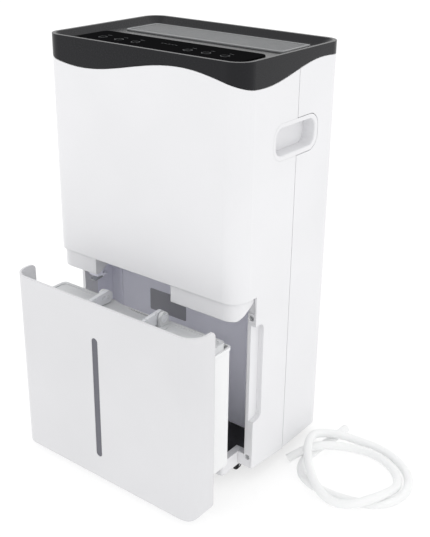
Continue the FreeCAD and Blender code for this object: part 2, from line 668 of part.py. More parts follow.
def tank_lid():
    """Lid with flat shoulders, a dipped middle, shallow panels and the two handle lugs."""
    y0 = TANK_FRONT_Y + WALL + 2.0
    y1 = LID_BACK_Y
    t = 2.2
    outer = lid_section(0.0, 0.0).extrude(V(0, y1 - y0, 0))
    outer.translate(V(0, y0, 0))
    inner = lid_section(t, t).extrude(V(0, y1 - y0 - 2 * t, 0))
    inner.translate(V(0, y0 + t, 0))
    plan = rbox(-TANK_HALF_W + 0.5, y0, 200, TANK_HALF_W - 0.5, y1, 300, 6.0)
    lid = outer.common(plan).cut(inner)
    for side in (-1, 1):
        x_out = side * (TANK_HALF_W - 5.5)
        x_in = side * (LID_DIP + 20)
        dish = rbox(min(x_out, x_in), y0 + 5, LID_TOP_Z - 1.0, max(x_out, x_in), y1 - 5, LID_TOP_Z + 1, 5.0)
        lid = lid.cut(dish)
    return fused([lid] + lid_lugs(-1) + lid_lugs(1))


def tank_handle():
    """Carrying handle, folded forward over the lid."""
    py, pz = HANDLE_PIVOT
    tip_y = py - HANDLE_REACH
    eye = 9.4
    pieces = []
    for side in (-1, 1):
        x0 = side * HANDLE_X - 3
        pieces.append(rod(V(x0, py, pz), V(x0 + 6, py, pz), eye))
        corners = [(py, pz + eye), (tip_y, pz + 4), (tip_y, pz - 5), (py, pz - eye), (py, pz + eye)]
        arm = Part.Face(Part.makePolygon([V(x0, y, z) for y, z in corners]))
        pieces.append(arm.extrude(V(6, 0, 0)))
    pieces.append(rod(V(-HANDLE_X - 3, tip_y, pz), V(HANDLE_X + 3, tip_y, pz), 5.0))
    handle = fused(pieces)
    return handle.cut(rod(V(-HANDLE_X - 5, py, pz), V(HANDLE_X + 5, py, pz), 3.0 + RUN_GAP))


def float_arm():
    """Float on its arm inside the tank."""
    x0 = -TANK_HALF_W + TANK_WALL
    eye = rod(V(x0 + 9, -59, 73), V(x0 + 18, -59, 73), 4.5)
    block = rbox(x0 + 10, -98, 58, x0 + 46, -70, 78, 5.0)
    arm = box(x0 + 11, -76, 69, x0 + 17, -59, 74)
    shape = fused([eye, arm, block])
    return shape.cut(rod(V(x0, -59, 73), V(x0 + 60, -59, 73), 2.0 + RUN_GAP))


# ---- fan --------------------------------------------------------------------------------
def fan_scroll():
    """Fan casing with its throat opening upwards and a bell mouth at the back."""
    y0, y1 = FAN_Y
    r = FAN_R + 14
    outer = rod(V(FAN_X, y0 - 4, FAN_Z), V(FAN_X, y1 + 4, FAN_Z), r)
    outer = outer.fuse(box(FAN_X, y0 - 4, FAN_Z, FAN_X + r, y1 + 4, 576))
    inner = rod(V(FAN_X, y0 - 2, FAN_Z), V(FAN_X, y1 + 2, FAN_Z), r - 2)
    inner = inner.fuse(box(FAN_X + 2, y0 - 2, FAN_Z, FAN_X + r - 2, y1 + 2, 577))
    casing = outer.removeSplitter().cut(inner.removeSplitter())
    casing = casing.cut(rod(V(FAN_X, y1, FAN_Z), V(FAN_X, y1 + 10, FAN_Z), 66.0))
    casing = casing.cut(rod(V(FAN_X, y0 - 10, FAN_Z), V(FAN_X, y0, FAN_Z), 20.0))
    feet = []
    for x in (-60.0, 60.0):
        feet.append(box(x - 8, y0 - 2, STEP_Z + WALL, x + 8, y1 + 2, FAN_Z - r + 24))
    return fused([casing] + [f.cut(rod(V(FAN_X, y0 - 9, FAN_Z), V(FAN_X, y1 + 9, FAN_Z), r - 1)) for f in feet])


def blower_wheel():
    """Centrifugal wheel: back disc, hub, blades and end ring."""
    y0, y1 = FAN_Y
    disc = rod(V(FAN_X, y0, FAN_Z), V(FAN_X, y0 + 2, FAN_Z), FAN_R)
    hub = rod(V(FAN_X, y0, FAN_Z), V(FAN_X, y0 + 16, FAN_Z), 11.0)
    ring = rod(V(FAN_X, y1 - 2, FAN_Z), V(FAN_X, y1, FAN_Z), FAN_R)
    ring = ring.cut(rod(V(FAN_X, y1 - 3, FAN_Z), V(FAN_X, y1 + 1, FAN_Z), FAN_R - 12))
    pieces = [disc, hub, ring]
    count = 24
    for i in range(count):
        blade = box(-0.9, y0 + 1, FAN_R - 13, 0.9, y1 - 1, FAN_R - 1)
        blade.rotate(V(0, 0, FAN_R - 7), V(0, 1, 0), 32)
        blade.rotate(V(0, 0, 0), V(0, 1, 0), 360.0 * i / count)
        blade.translate(V(FAN_X, 0, FAN_Z))
        pieces.append(blade)
    return fused(pieces).cut(rod(V(FAN_X, y0 - 5, FAN_Z), V(FAN_X, y0 + 20, FAN_Z), SHAFT_R))


def fan_motor():
    """Motor between the front shell and the fan casing."""
    y = FAN_Y[0] - 4
    can = rod(V(FAN_X, -HALF_D + WALL, FAN_Z), V(FAN_X, y, FAN_Z), 36.0)
    nose = rod(V(FAN_X, y - 1, FAN_Z), V(FAN_X, y + 3.0, FAN_Z), 14.0)
    return fused([can, nose]).cut(rod(V(FAN_X, y - 16, FAN_Z), V(FAN_X, y + 9, FAN_Z), SHAFT_R + RUN_GAP))


def motor_shaft():
    """Shaft that carries the blower wheel."""
    return rod(V(FAN_X, FAN_Y[0] - 18, FAN_Z), V(FAN_X, FAN_Y[0] + 18, FAN_Z), SHAFT_R)


# ---- refrigeration ----------------------------------------------------------------------
def coil(span_y, rows, tube_r):
    """Finned coil: a serpentine tube through a stack of plates."""
    y = (span_y[0] + span_y[1]) / 2
    pitch = (COIL_Z[1] - COIL_Z[0] - 24) / (rows - 1)
    points = [V(COIL_X + 10, y, COIL_Z[0] + 12)]
    for i in range(rows):
        z = COIL_Z[0] + 12 + pitch * i
        side = -1 if i % 2 == 0 else 1
        points.append(V(side * (COIL_X + 10), y, z))
        if i < rows - 1:
            points.append(V(side * (COIL_X + 10), y, z + pitch))
    tube, path, radii = pipe(points, tube_r)
    fins = []
    count = 26
    for i in range(count):
        x = -COIL_X + 2 * COIL_X * i / (count - 1)
        fins.append(box(x - 0.5, span_y[0], COIL_Z[0], x + 0.5, span_y[1], COIL_Z[1]))
    return fused([tube] + fins)


def drip_tray():
    """Tray under the coils with a nozzle for the drain tube."""
    outer = rbox(-134, 20, 314, 134, 100, 332, 8.0)
    inner = rbox(-132, 22, 316, 132, 98, 333, 6.0)
    rests = []
    for x in (-100.0, 100.0):
        rests.append(box(x - 4, 24, 315, x + 4, 96, COIL_Z[0]))
    brackets = [box(-143, 50, 317, -133, 66, 331), box(133, 50, 317, 143, 66, 331)]
    spout_x = SPOUT_AT[0]
    nozzle = rod(V(spout_x, 60, 300), V(spout_x, 60, 316), 5.0)
    tray = fused([outer.cut(inner), nozzle] + rests + brackets)
    return tray.cut(rod(V(spout_x, 60, 299), V(spout_x, 60, 340), 3.4))


def coil_frame():
    """Two uprights that carry the tray and the coils."""
    left = box(-145, 24, BASE_Z + 3, -143, 96, 470)
    lower = box(-145, 60, BASE_Z + 3, -128, 62, 120)
    post = fused([left, lower])
    return group([post, mirror_x(post)])


def inner_drain_tube():
    """Tube from the tray nozzle to the drain spout."""
    x, z = SPOUT_AT
    points = [V(x, 60, 308), V(x, 60, z), V(x, 92, z)]
    tube, path, radii = pipe(points, 6.6, 5.05)
    return tube


def drain_spout():
    """Recessed cup in the rear wall with the hose nozzle in its middle."""
    x, z = SPOUT_AT
    outer = rod(V(x, 97, z), V(x, HALF_D, z), 16.8)
    inner = rod(V(x, 99, z), V(x, HALF_D + 1, z), 14.8)
    nozzle = rod(V(x, 98, z), V(x, HALF_D - 1.5, z), SPOUT_R)
    stub = rod(V(x, 88, z), V(x, 98, z), 4.8)
    cup = fused([outer.cut(inner), nozzle, stub])
    return cup.cut(rod(V(x, 80, z), V(x, HALF_D + 5, z), SPOUT_BORE))


def compressor():
    """Hermetic compressor with its mounting plate and terminal box."""
    cx, cy = COMPRESSOR_AT
    r = COMPRESSOR_R
    can = rod(V(cx, cy, 44), V(cx, cy, 168), r)
    rims = [e for e in can.Edges if e.Closed and abs(e.Length - 2 * math.pi * r) < 0.1]
    can = can.makeFillet(16.0, rims)
    plate = rbox(cx - 56, cy - 46, 38, cx + 56, cy + 46, 41, 8.0)
    saddle = rod(V(cx, cy, 40), V(cx, cy, 52), 30.0)
    box_2 = rbox(cx - 68, cy - 16, 96, cx - 40, cy + 16, 132, 5.0)
    seam = rod(V(cx, cy, 104), V(cx, cy, 108), r + 2.5)
    body = fused([can, plate, saddle, box_2, seam])
    for dx in (-48, 48):
        for dy in (-36, 36):
            body = body.cut(rod(V(cx + dx, cy + dy, 30), V(cx + dx, cy + dy, 50), 5.0))
    return body


def compressor_feet():
    """Four rubber grommets under the compressor."""
    cx, cy = COMPRESSOR_AT
    feet = []
    for dx in (-48, 48):
        for dy in (-36, 36):
            x, y = cx + dx, cy + dy
            foot = rod(V(x, y, BASE_Z + 3), V(x, y, 38), 8.0)
            neck = rod(V(x, y, 37), V(x, y, 42), 5.0)
            cap = rod(V(x, y, 41), V(x, y, 44), 7.5)
            feet.append(fused([foot, neck, cap]))
    return group(feet)


def run_capacitor():
    """Motor capacitor standing on the base."""
    can = rod(V(-60, 60, BASE_Z + 3), V(-60, 60, 100), 18.0)
    tabs = [box(-66, 57, 99, -65, 63, 108), box(-55, 57, 99, -54, 63, 108)]
    return fused([can] + tabs)


def line_ends():
    """Heights and y positions where the refrigerant lines meet the coils."""
    low = COIL_Z[0] + 12
    high = COIL_Z[1] - 12
    evaporator_y = sum(EVAPORATOR_Y) / 2
    condenser_y = sum(CONDENSER_Y) / 2
    return low, high, evaporator_y, condenser_y


def suction_line():
    """Line from the evaporator down to the compressor."""
    low, high, ye, yc = line_ends()
    cx, cy = COMPRESSOR_AT
    x = COIL_X + 10
    points = [V(x, ye, low), V(x + 11, ye, low), V(x + 11, ye, 200), V(cx + 28, cy, 200), V(cx + 28, cy, 168)]
    return pipe(points, 3.4)[0]


def discharge_line():
    """Line from the compressor up to the condenser."""
    low, high, ye, yc = line_ends()
    cx, cy = COMPRESSOR_AT
    x = COIL_X + 10
    points = [V(cx, cy, 168), V(cx, cy, 230), V(x + 11, yc, 230), V(x + 11, yc, low), V(x, yc, low)]
    return pipe(points, 3.0)[0]


def capillary_line():
    """Thin line between the two coils."""
    low, high, ye, yc = line_ends()
    x = COIL_X + 10
    points = [V(x, yc, high), V(x + 5, yc, high), V(x + 5, ye, high), V(x, ye, high)]
    return pipe(points, 1.4)[0]


def control_board():
    """Circuit board under the deck on four pillars."""
    board = box(-110, -96, 594, 110, -30, 595.6)
    parts = [board]
    for x in (-104.0, 104.0):
        for y in (-90.0, -36.0):
            parts.append(rod(V(x, y, 595), V(x, y, DECK_Z - 4), 3.0))
    for x in (-80.0, -50.0, -20.0):
        parts.append(box(x - 9, -88, 583, x + 9, -70, 594.5))
    parts.append(box(30, -90, 578, 78, -50, 594.5))
    return fused(parts)


# ---- rear -------------------------------------------------------------------------------
def filter_frame():
    """Louvred cover of the air intake; it pulls off to the rear with its mesh."""
    x0, z0, x1, z1 = INTAKE
    g = 0.5
    y0 = HALF_D - 7.5
    frame = slot_y(y0, HALF_D, x0 + g, z0 + g, x1 - g, z1 - g, 9.5)
    frame = frame.cut(slot_y(y0 - 1, HALF_D + 1, x0 + 9, z0 + 9, x1 - 9, z1 - 9, 4.0))
    pieces = [frame]
    count = 18
    pitch = (z1 - z0 - 18) / count
    for i in range(count):
        z = z0 + 9 + pitch * (i + 0.5)
        slat = box(x0 + 8, -2.6, -1.1, x1 - 8, 2.6, 1.1)
        slat.rotate(V(0, 0, 0), V(1, 0, 0), -25)
        slat.translate(V(0, HALF_D - 3.2, z))
        pieces.append(slat)
    for x in (-56.0, 0.0, 56.0):
        pieces.append(box(x - 1.2, y0 + 1.6, z0 + 8, x + 1.2, HALF_D - 2, z1 - 8))
    return fused(pieces)


def filter_mesh():
    """Thin mesh behind the louvres."""
    x0, z0, x1, z1 = INTAKE
    y0 = HALF_D - 7.5
    return slot_y(y0, y0 + 1.2, x0 + 9, z0 + 9, x1 - 9, z1 - 9, 4.0)


def lead_gland():
    """Bush where the power lead would enter."""
    flange = rod(V(110, HALF_D, 70), V(110, HALF_D + GLAND_PROUD, 70), 12.0)
    neck = rod(V(110, HALF_D - 8, 70), V(110, HALF_D + 1, 70), 8.9)
    return fused([flange, neck])


# ---- drain hose -------------------------------------------------------------------------
def hose_points():
    """Centre line of the loose hose on the floor, in the cabinet's own frame."""
    z = HOSE_R
    over = 3 * HOSE_R + 1.5
    top = 5 * HOSE_R + 1.5
    return [
        V(208, 134, z), V(207, 105, z), V(204, 76, z), V(201, 48, z), V(201, 19, z),
        V(212, -7, z), V(236, -22, z), V(265, -25, z), V(295, -22, z), V(325, -13, z),
        V(349, 7, z), V(359, 36, z), V(354, 67, z), V(336, 93, z), V(308, 111, z),
        V(277, 119, z), V(247, 114, z + 2.5), V(220, 101, over - 4), V(201, 79, over + 4),
        V(195, 52, top), V(203, 26, top), V(218, 3, top - 5), V(236, -18, over + 2.5),
        V(259, -36, over - 4), V(287, -44, z + 3.5), V(315, -36, over - 6.5), V(335, -13, over),
        V(343, 17, over - 4.5), V(344, 47, z + 2.5), V(331, 74, z), V(306, 93, z),
        V(277, 101, z), V(248, 95, z + 0.5), V(227, 77, over - 8), V(212, 53, over),
        V(197, 32, over - 0.5), V(180, 9, z),
    ]


def drain_hose():
    """The loose hose; its radii and length are printed."""
    tube, path, radii = pipe(hose_points(), HOSE_R)
    print("hose length %.0f, radii %.0f to %.0f" % (path.Length, min(radii), max(radii)))
    section = math.pi * HOSE_R ** 2
    print("hose volume %.0f against %.0f" % (tube.Volume, section * path.Length))
    return tube


# ---- export -----------------------------------------------------------------------------
def save(name, shape, pull=0.0):
    """Write one node, moved into the exported frame."""
    placed = shape.copy()
    placed.translate(V(0, ORIGIN_Y - pull, 0))
    placed.exportStep("parts/%s.step" % name)
    print(name, len(placed.Solids), placed.isValid(), "%.0f" % placed.Volume)


def main():
    """Build and write every node."""
    os.makedirs("parts", exist_ok=True)
    save("front_housing", front_housing())
    save("rear_housing", rear_housing())
    save("top_cover", top_cover())
    save("control_panel", control_panel())
    save("outlet_grille", outlet_grille())
    save("handle_pocket_right", handle_pocket())
    save("handle_pocket_left", mirror_x(handle_pocket()))
    save("tank_bay", tank_bay())
    save("side_frame_right", side_frame())
    save("side_frame_left", mirror_x(side_frame()))
    save("base_pan", base_pan())
    save("base_sill", base_sill())
    save("rating_plate", rating_plate())
    save("strip_screws", strip_screws())
    save("micro_switch", micro_switch())
    save("switch_lever", switch_lever())
    corners = [("front_left", -1, 0), ("front_right", 1, 0), ("rear_left", -1, 1), ("rear_right", 1, 1)]
    for name, side, row in corners:
        x = side * CASTER_X
        y = CASTER_Y[row]
        save("caster_fork_" + name, caster_fork(x, y))
        save("caster_wheel_" + name, caster_wheel(x, y))
        save("caster_axle_" + name, caster_axle(x, y))
    save("tank_front_panel", tank_front_panel(), TANK_PULL)
    save("level_window", level_window(), TANK_PULL)
    save("tank_body", tank_body(), TANK_PULL)
    save("tank_lid", tank_lid(), TANK_PULL)
    save("tank_handle", tank_handle(), TANK_PULL)
    save("tank_float", float_arm(), TANK_PULL)
    save("fan_scroll", fan_scroll())
    save("blower_wheel", blower_wheel())
    save("fan_motor", fan_motor())
    save("motor_shaft", motor_shaft())
    save("evaporator", coil(EVAPORATOR_Y, 8, 4.0))
    save("condenser", coil(CONDENSER_Y, 8, 4.0))
    save("coil_frame", coil_frame())
    save("drip_tray", drip_tray())
    save("inner_drain_tube", inner_drain_tube())
    save("drain_spout", drain_spout())
    save("compressor", compressor())
    save("compressor_feet", compressor_feet())
    save("run_capacitor", run_capacitor())
    save("suction_line", suction_line())
    save("discharge_line", discharge_line())
    save("capillary_line", capillary_line())
    save("control_board", control_board())
    save("filter_frame", filter_frame())
    save("filter_mesh", filter_mesh())
    save("lead_gland", lead_gland())
    save("drain_hose", drain_hose())


main()
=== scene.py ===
"""Looks for the dehumidifier: camera, hose, materials, fine pieces, floor and light."""
import bmesh
import bpy
import math
from mathutils import Matrix, Vector


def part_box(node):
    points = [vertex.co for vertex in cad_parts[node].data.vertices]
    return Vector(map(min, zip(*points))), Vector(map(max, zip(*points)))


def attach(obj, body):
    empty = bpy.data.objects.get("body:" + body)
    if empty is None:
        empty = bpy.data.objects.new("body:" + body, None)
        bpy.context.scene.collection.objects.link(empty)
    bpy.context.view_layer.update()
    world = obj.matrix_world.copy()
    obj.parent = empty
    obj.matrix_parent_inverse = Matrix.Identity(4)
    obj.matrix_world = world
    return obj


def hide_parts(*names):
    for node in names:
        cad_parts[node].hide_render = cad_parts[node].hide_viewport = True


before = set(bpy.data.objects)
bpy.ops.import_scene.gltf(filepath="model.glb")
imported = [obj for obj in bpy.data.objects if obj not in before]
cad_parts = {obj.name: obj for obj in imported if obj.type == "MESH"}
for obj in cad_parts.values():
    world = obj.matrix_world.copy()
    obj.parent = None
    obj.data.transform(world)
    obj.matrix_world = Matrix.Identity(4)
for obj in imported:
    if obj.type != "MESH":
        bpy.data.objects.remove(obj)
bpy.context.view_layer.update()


# ---- places taken from the frame ---------------------------------------------------------
COVER_LO, COVER_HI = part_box("top_cover")
PANEL_LO, PANEL_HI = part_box("control_panel")
GRILLE_LO, GRILLE_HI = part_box("outlet_grille")
LID_LO, LID_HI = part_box("tank_lid")
HANDLE_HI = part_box("tank_handle")[1]
REAR_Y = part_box("rear_housing")[1][1]           # outer face of the rear housing
FILTER_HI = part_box("filter_frame")[1]
CENTRE_Y = (COVER_LO[1] + COVER_HI[1]) / 2      # centre of the cabinet, front to back

# ---- sizes of the hose, surfaces and fine pieces, in metres ------------------------------
HOSE_DIAMETER = 0.013
RELIEF_DEPTH = 0.0002           # depth of every surface relief
MARK_HEIGHT = 0.0002            # printed marks stand this far off the touch panel
MARK_WIDTH = 0.0008             # bars of the printed marks, front to back
TOUCH_X = (0.045, 0.075, 0.105) # touch rings, either side of the middle
TOUCH_FORWARD = 0.006           # touch rings, in front of the panel's middle
RING_INNER, RING_OUTER = 0.0055, 0.0062
LEVEL_BARS = 5
LEVEL_PITCH = 0.006
CROSS_BARS = 46                 # fine bars under the outlet slats
EYE_R = 0.0094                  # round end of a handle arm
LUG_OUT = 0.006                 # outer face of a lug, from the handle's side
SCREW_X = 0.143                 # rear screws, either side of the middle
SCREW_Z = (0.052, 0.308, 0.560)
SCREW_R = 0.0042
PLATE_AT = (0.005, 0.175)       # x and z of the middle of the rear plate
PLATE_HALF = (0.035, 0.025)
PLATE_CORNER = 0.004
BEAD_R = 0.0008                 # round bead on the lid's rear edge


# ---- camera ------------------------------------------------------------------------------
def add_camera():
    """Camera at the front right, above the machine."""
    azimuth = math.radians(37.41)
    elevation = math.radians(22.75)
    roll = math.radians(0.75)
    distance = 1.3255
    target = Vector((0.0428, CENTRE_Y, 0.3157))
    back = Vector((math.sin(azimuth) * math.cos(elevation),
                   -math.cos(azimuth) * math.cos(elevation),
                   math.sin(elevation)))
    level_right = (-back).cross(Vector((0, 0, 1))).normalized()
    level_up = level_right.cross(-back)
    right = level_right * math.cos(roll) + level_up * math.sin(roll)
    up = level_up * math.cos(roll) - level_right * math.sin(roll)
    data = bpy.data.cameras.new("camera")
    data.lens = 60.8
    data.sensor_width = 36.0
    data.shift_y = -0.0345
    data.clip_start = 0.05
    data.clip_end = 30.0
    camera = bpy.data.objects.new("camera", data)
    turn = Matrix((right, up, back)).transposed().to_4x4()
    camera.matrix_world = Matrix.Translation(target + back * distance) @ turn
    bpy.context.scene.collection.objects.link(camera)
    bpy.context.scene.camera = camera


# ---- node materials ----------------------------------------------------------------------
def new_material(name, colour, roughness, metallic=0.0):
    """A principled material; returns it with its node tree and shader."""
    material = bpy.data.materials.new(name)
    material.use_nodes = True
    tree = material.node_tree
    shader = tree.nodes["Principled BSDF"]
    shader.inputs["Base Color"].default_value = (*colour, 1.0)
    shader.inputs["Roughness"].default_value = roughness
    shader.inputs["Metallic"].default_value = metallic
    return material, tree, shader


def noise(tree, scale, detail=3.0, stretch=(1.0, 1.0, 1.0)):
    """Noise in object space."""
    place = tree.nodes.new("ShaderNodeTexCoord")
    mapping = tree.nodes.new("ShaderNodeMapping")
    mapping.inputs["Scale"].default_value = stretch
    texture = tree.nodes.new("ShaderNodeTexNoise")
    texture.inputs["Scale"].default_value = scale
    texture.inputs["Detail"].default_value = detail
    tree.links.new(place.outputs["Object"], mapping.inputs["Vector"])
    tree.links.new(mapping.outputs["Vector"], texture.inputs["Vector"])
    return texture


def add_bump(tree, shader, source, strength, round_edge):
    """Surface relief from a texture, with edges softened by a radius unless it is 0."""
    bump = tree.nodes.new("ShaderNodeBump")
    bump.inputs["Strength"].default_value = strength
    bump.inputs["Distance"].default_value = RELIEF_DEPTH
    tree.links.new(source.outputs["Fac"], bump.inputs["Height"])
    if round_edge:
        soft = tree.nodes.new("ShaderNodeBevel")
        soft.samples = 6
        soft.inputs["Radius"].default_value = round_edge
        tree.links.new(soft.outputs["Normal"], bump.inputs["Normal"])
    tree.links.new(bump.outputs["Normal"], shader.inputs["Normal"])


def vary(tree, shader, socket, source, low, high):
    """Drive a number on the shader from a texture."""
    span = tree.nodes.new("ShaderNodeMapRange")
    span.inputs["From Min"].default_value = 0.3
    span.inputs["From Max"].default_value = 0.7
    span.inputs["To Min"].default_value = low
    span.inputs["To Max"].default_value = high
    tree.links.new(source.outputs["Fac"], span.inputs["Value"])
    tree.links.new(span.outputs["Result"], shader.inputs[socket])


def tint(tree, shader, source, colour_a, colour_b):
    """Slight change of colour over the surface."""
    ramp = tree.nodes.new("ShaderNodeValToRGB")
    ramp.color_ramp.elements[0].position = 0.35
    ramp.color_ramp.elements[1].position = 0.65
    ramp.color_ramp.elements[0].color = (*colour_a, 1.0)
    ramp.color_ramp.elements[1].color = (*colour_b, 1.0)
    tree.links.new(source.outputs["Fac"], ramp.inputs["Fac"])
    tree.links.new(ramp.outputs["Color"], shader.inputs["Base Color"])


def moulded(name, colour, roughness, grain=900.0, relief=0.12, shine=0.5):
    """Moulded plastic: fine spark texture, faint colour drift and softened edges."""
    material, tree, shader = new_material(name, colour, roughness)
    shader.inputs["Specular IOR Level"].default_value = shine
    fine = noise(tree, grain, 2.0)
    broad = noise(tree, 6.0, 2.0)
    darker = tuple(0.97 * c for c in colour)
    tint(tree, shader, broad, darker, colour)
    vary(tree, shader, "Roughness", fine, roughness * 0.9, roughness * 1.12)
    add_bump(tree, shader, fine, relief, 0.0012)
    return material


def gloss(name, colour, roughness):
    """Polished dark plastic, with no mirror image of the white surround."""
    material, tree, shader = new_material(name, colour, roughness)
    shader.inputs["Specular IOR Level"].default_value = 0.0
    smudge = noise(tree, 14.0, 5.0)
    vary(tree, shader, "Roughness", smudge, roughness * 0.8, roughness * 1.8)
    add_bump(tree, shader, noise(tree, 40.0, 1.0), 0.02, 0.0006)
    return material


def clear(name, colour, roughness, passing, ior=1.45, edge=0.0008):
    """Translucent plastic."""
    material, tree, shader = new_material(name, colour, roughness)
    shader.inputs["Transmission Weight"].default_value = passing
    shader.inputs["IOR"].default_value = ior
    ripple = noise(tree, 60.0, 2.0)
    vary(tree, shader, "Roughness", ripple, roughness * 0.8, roughness * 1.3)
    add_bump(tree, shader, ripple, 0.03, edge)
    return material


def metal(name, colour, roughness):
    """Metal with streaks drawn out across Z."""
    material, tree, shader = new_material(name, colour, roughness, 1.0)
    streaks = noise(tree, 60.0, 4.0, (1.0, 1.0, 30.0))
    vary(tree, shader, "Roughness", streaks, roughness * 0.7, roughness * 1.4)
    add_bump(tree, shader, streaks, 0.1, 0.0005)
    return material


def woven(name, colour):
    """Filter mesh: crossed threads with open squares."""
    material, tree, shader = new_material(name, colour, 0.6)
    place = tree.nodes.new("ShaderNodeTexCoord")
    total = tree.nodes.new("ShaderNodeMath")
    total.operation = "MAXIMUM"
    for index, direction in enumerate(("X", "Z")):
        wave = tree.nodes.new("ShaderNodeTexWave")
        wave.bands_direction = direction
        wave.inputs["Scale"].default_value = 160.0
        tree.links.new(place.outputs["Object"], wave.inputs["Vector"])
        tree.links.new(wave.outputs["Fac"], total.inputs[index])
    ramp = tree.nodes.new("ShaderNodeValToRGB")
    ramp.color_ramp.elements[0].position = 0.55
    ramp.color_ramp.elements[1].position = 0.75
    # The open squares are painted near black: painted shade of the inside seen through the mesh.
    ramp.color_ramp.elements[0].color = (0.01, 0.01, 0.012, 1.0)
    ramp.color_ramp.elements[1].color = (*colour, 1.0)
    tree.links.new(total.outputs["Value"], ramp.inputs["Fac"])
    tree.links.new(ramp.outputs["Color"], shader.inputs["Base Color"])
    return material


def make_materials():
    """All materials by name."""
    return {
        "white": moulded("white_plastic", (0.79, 0.79, 0.805), 0.36, shine=0.3),
        "charcoal": moulded("charcoal_plastic", (0.009, 0.0092, 0.011), 0.26, 1400.0, 0.12, shine=0.2),
        "panel": gloss("panel_gloss", (0.006, 0.006, 0.0065), 0.12),
        # The tank front is the housing's white plastic made darker: painted shade on the lower front.
        "front": moulded("tank_front_painted_shade", (0.70, 0.70, 0.715), 0.36, shine=0.3),
        "grille": moulded("grille_plastic", (0.24, 0.245, 0.25), 0.45, shine=0.3),
        # The bay is the housing's white plastic: its blue tint is painted shade, the bluish cast of the
        # shaded bay, and it is made lighter than the housing white as painted light to brighten the bay.
        "bay": moulded("bay_painted_light_blue_shade", (0.91, 0.912, 1.0), 0.5, shine=0.3),
        "black": moulded("black_plastic", (0.012, 0.012, 0.014), 0.5, 700.0, 0.3),
        "window": clear("window_plastic", (0.16, 0.16, 0.19), 0.12, 0.25),
        "tank": clear("tank_plastic", (0.88, 0.885, 0.89), 0.36, 0.05),
        "lid": clear("lid_plastic", (0.66, 0.67, 0.68), 0.35, 0.08),
        "handle": clear("handle_plastic", (0.80, 0.81, 0.84), 0.3, 0.2),
        "foam": moulded("foam", (0.85, 0.84, 0.78), 0.9, 300.0, 0.8),
        "paint": moulded("black_paint", (0.008, 0.008, 0.009), 0.3, 200.0, 0.1),
        "steel": metal("zinc_steel", (0.60, 0.61, 0.62), 0.35),
        "copper": metal("copper", (0.76, 0.38, 0.22), 0.28),
        "fins": metal("fin_aluminium", (0.82, 0.83, 0.84), 0.3),
        "rubber": moulded("rubber", (0.012, 0.012, 0.012), 0.75, 500.0, 0.4),
        "board": moulded("board_laminate", (0.02, 0.14, 0.05), 0.4),
        "plate": moulded("plate_film", (0.36, 0.36, 0.39), 0.35),
        "mesh": woven("filter_weave", (0.10, 0.10, 0.11)),
        "hose": clear("hose_vinyl", (0.93, 0.935, 0.935), 0.45, 0.12, 1.3, 0.0),
        "mark": moulded("panel_mark", (0.12, 0.125, 0.13), 0.4, shine=0.1),
    }


NODE_LOOKS = {
    "front": ["tank_front_panel"],
    "white": ["front_housing", "rear_housing", "filter_frame", "base_sill", "side_frame_right",
              "side_frame_left", "handle_pocket_right", "handle_pocket_left"],
    "charcoal": ["top_cover"],
    "panel": ["control_panel"],
    "grille": ["outlet_grille", "fan_scroll", "drip_tray", "run_capacitor"],
    "bay": ["tank_bay", "micro_switch"],
    "black": ["base_pan", "blower_wheel", "drain_spout", "lead_gland"],
    "window": ["level_window"],
    "tank": ["tank_body"],
    "lid": ["tank_lid"],
    "handle": ["tank_handle"],
    "foam": ["tank_float"],
    "paint": ["compressor"],
    "steel": ["strip_screws", "switch_lever", "fan_motor", "motor_shaft", "coil_frame"],
    "copper": ["suction_line", "discharge_line", "capillary_line"],
    "fins": ["evaporator", "condenser"],
    "rubber": ["compressor_feet", "inner_drain_tube"],
    "board": ["control_board"],
    "plate": ["rating_plate"],
    "mesh": ["filter_mesh"],
}


def dress_nodes(looks):
    """Give every CAD node its material."""
    wanted = {node: looks[key] for key, nodes in NODE_LOOKS.items() for node in nodes}
    for corner in ("front_left", "front_right", "rear_left", "rear_right"):
        wanted["caster_fork_" + corner] = looks["black"]
        wanted["caster_wheel_" + corner] = looks["rubber"]
        wanted["caster_axle_" + corner] = looks["steel"]
    for node, material in wanted.items():
        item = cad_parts[node]
        if not item.material_slots:
            item.data.materials.append(material)
        for slot in item.material_slots:
            slot.material = material


# ---- drain hose --------------------------------------------------------------------------
def hose_route():
    """The hose's route on the floor, from its rear end to its front end."""
    points = [
        (208, 134, 6.5), (207, 105, 6.5), (204, 76, 6.5), (201, 48, 6.5), (201, 19, 6.5),
        (212, -7, 6.5), (236, -22, 6.5), (265, -25, 6.5), (295, -22, 6.5), (325, -13, 6.5),
        (349, 7, 6.5), (359, 36, 6.5), (354, 67, 6.5), (336, 93, 6.5), (308, 111, 6.5),
        (277, 119, 6.5), (247, 114, 9), (220, 101, 17), (201, 79, 25), (195, 52, 34),
        (203, 26, 34), (218, 3, 29), (236, -18, 23.5), (259, -36, 17), (287, -44, 10),
        (315, -36, 14.5), (335, -13, 21), (343, 17, 16.5), (344, 47, 9), (331, 74, 6.5),
        (306, 93, 6.5), (277, 101, 6.5), (248, 95, 7), (227, 77, 13), (212, 53, 21),
        (197, 32, 20.5), (180, 9, 6.5),
    ]
    return [(x / 1000, y / 1000 + CENTRE_Y, z / 1000) for x, y, z in points]


def add_hose(material):
    """Clear hose along its route."""
    data = bpy.data.curves.new("drain_hose_tube", "CURVE")
    data.dimensions = "3D"
    data.resolution_u = 10
    data.bevel_depth = HOSE_DIAMETER / 2
    data.bevel_resolution = 6
    data.use_fill_caps = True
    line = data.splines.new("NURBS")
    route = hose_route()
    line.points.add(len(route) - 1)
    for point, place in zip(line.points, route):
        point.co = (*place, 1.0)
    line.order_u = 3
    line.use_endpoint_u = True
    hose = bpy.data.objects.new("drain_hose_tube", data)
    bpy.context.scene.collection.objects.link(hose)
    data.materials.append(material)
    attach(hose, "hose")
    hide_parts("drain_hose")


